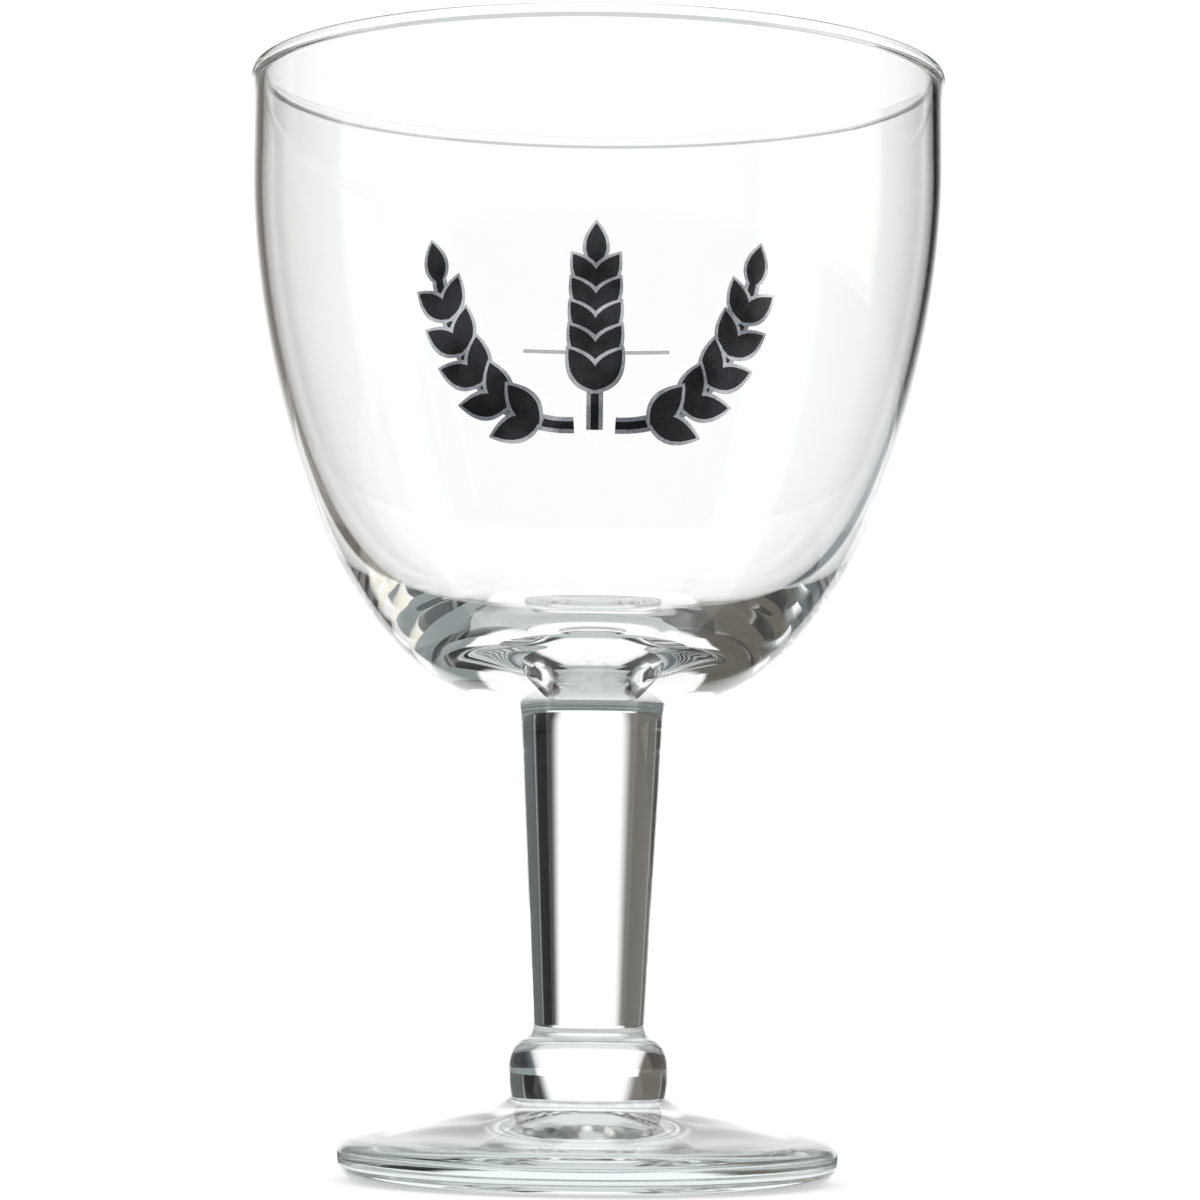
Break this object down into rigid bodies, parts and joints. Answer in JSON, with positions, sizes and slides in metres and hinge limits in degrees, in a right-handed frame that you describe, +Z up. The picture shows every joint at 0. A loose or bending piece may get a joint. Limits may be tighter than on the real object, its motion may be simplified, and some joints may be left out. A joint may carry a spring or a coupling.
{
  "type": "tasting glass",
  "caption": "Stemmed tasting glass: deep clear bowl with a solid base, tapered stem, rounded knop, shallow cone foot, a print of three barley ears on the front and a fill line on the back.",
  "frame": {"origin": "on the table, under the middle of the foot", "axes": "+Z up along the stem, -Y towards the viewer of the front print"},
  "size_m": [0.0942, 0.0942, 0.1493],
  "materials": {
    "clear_glass": "fire-polished clear soda-lime glass",
    "silver_enamel": "fired silver-grey enamel",
    "black_enamel": "fired gloss black enamel",
    "pale_enamel": "fired thin pale grey enamel"
  },
  "bodies": {
    "root": {"bowl": "clear_glass", "stem": "clear_glass", "knop": "clear_glass", "foot": "clear_glass", "ear_left_ground": "silver_enamel", "ear_left_print": "black_enamel", "ear_middle_ground": "silver_enamel", "ear_middle_print": "black_enamel", "ear_right_ground": "silver_enamel", "ear_right_print": "black_enamel", "fill_line": "pale_enamel"}
  },
  "joints": []
}
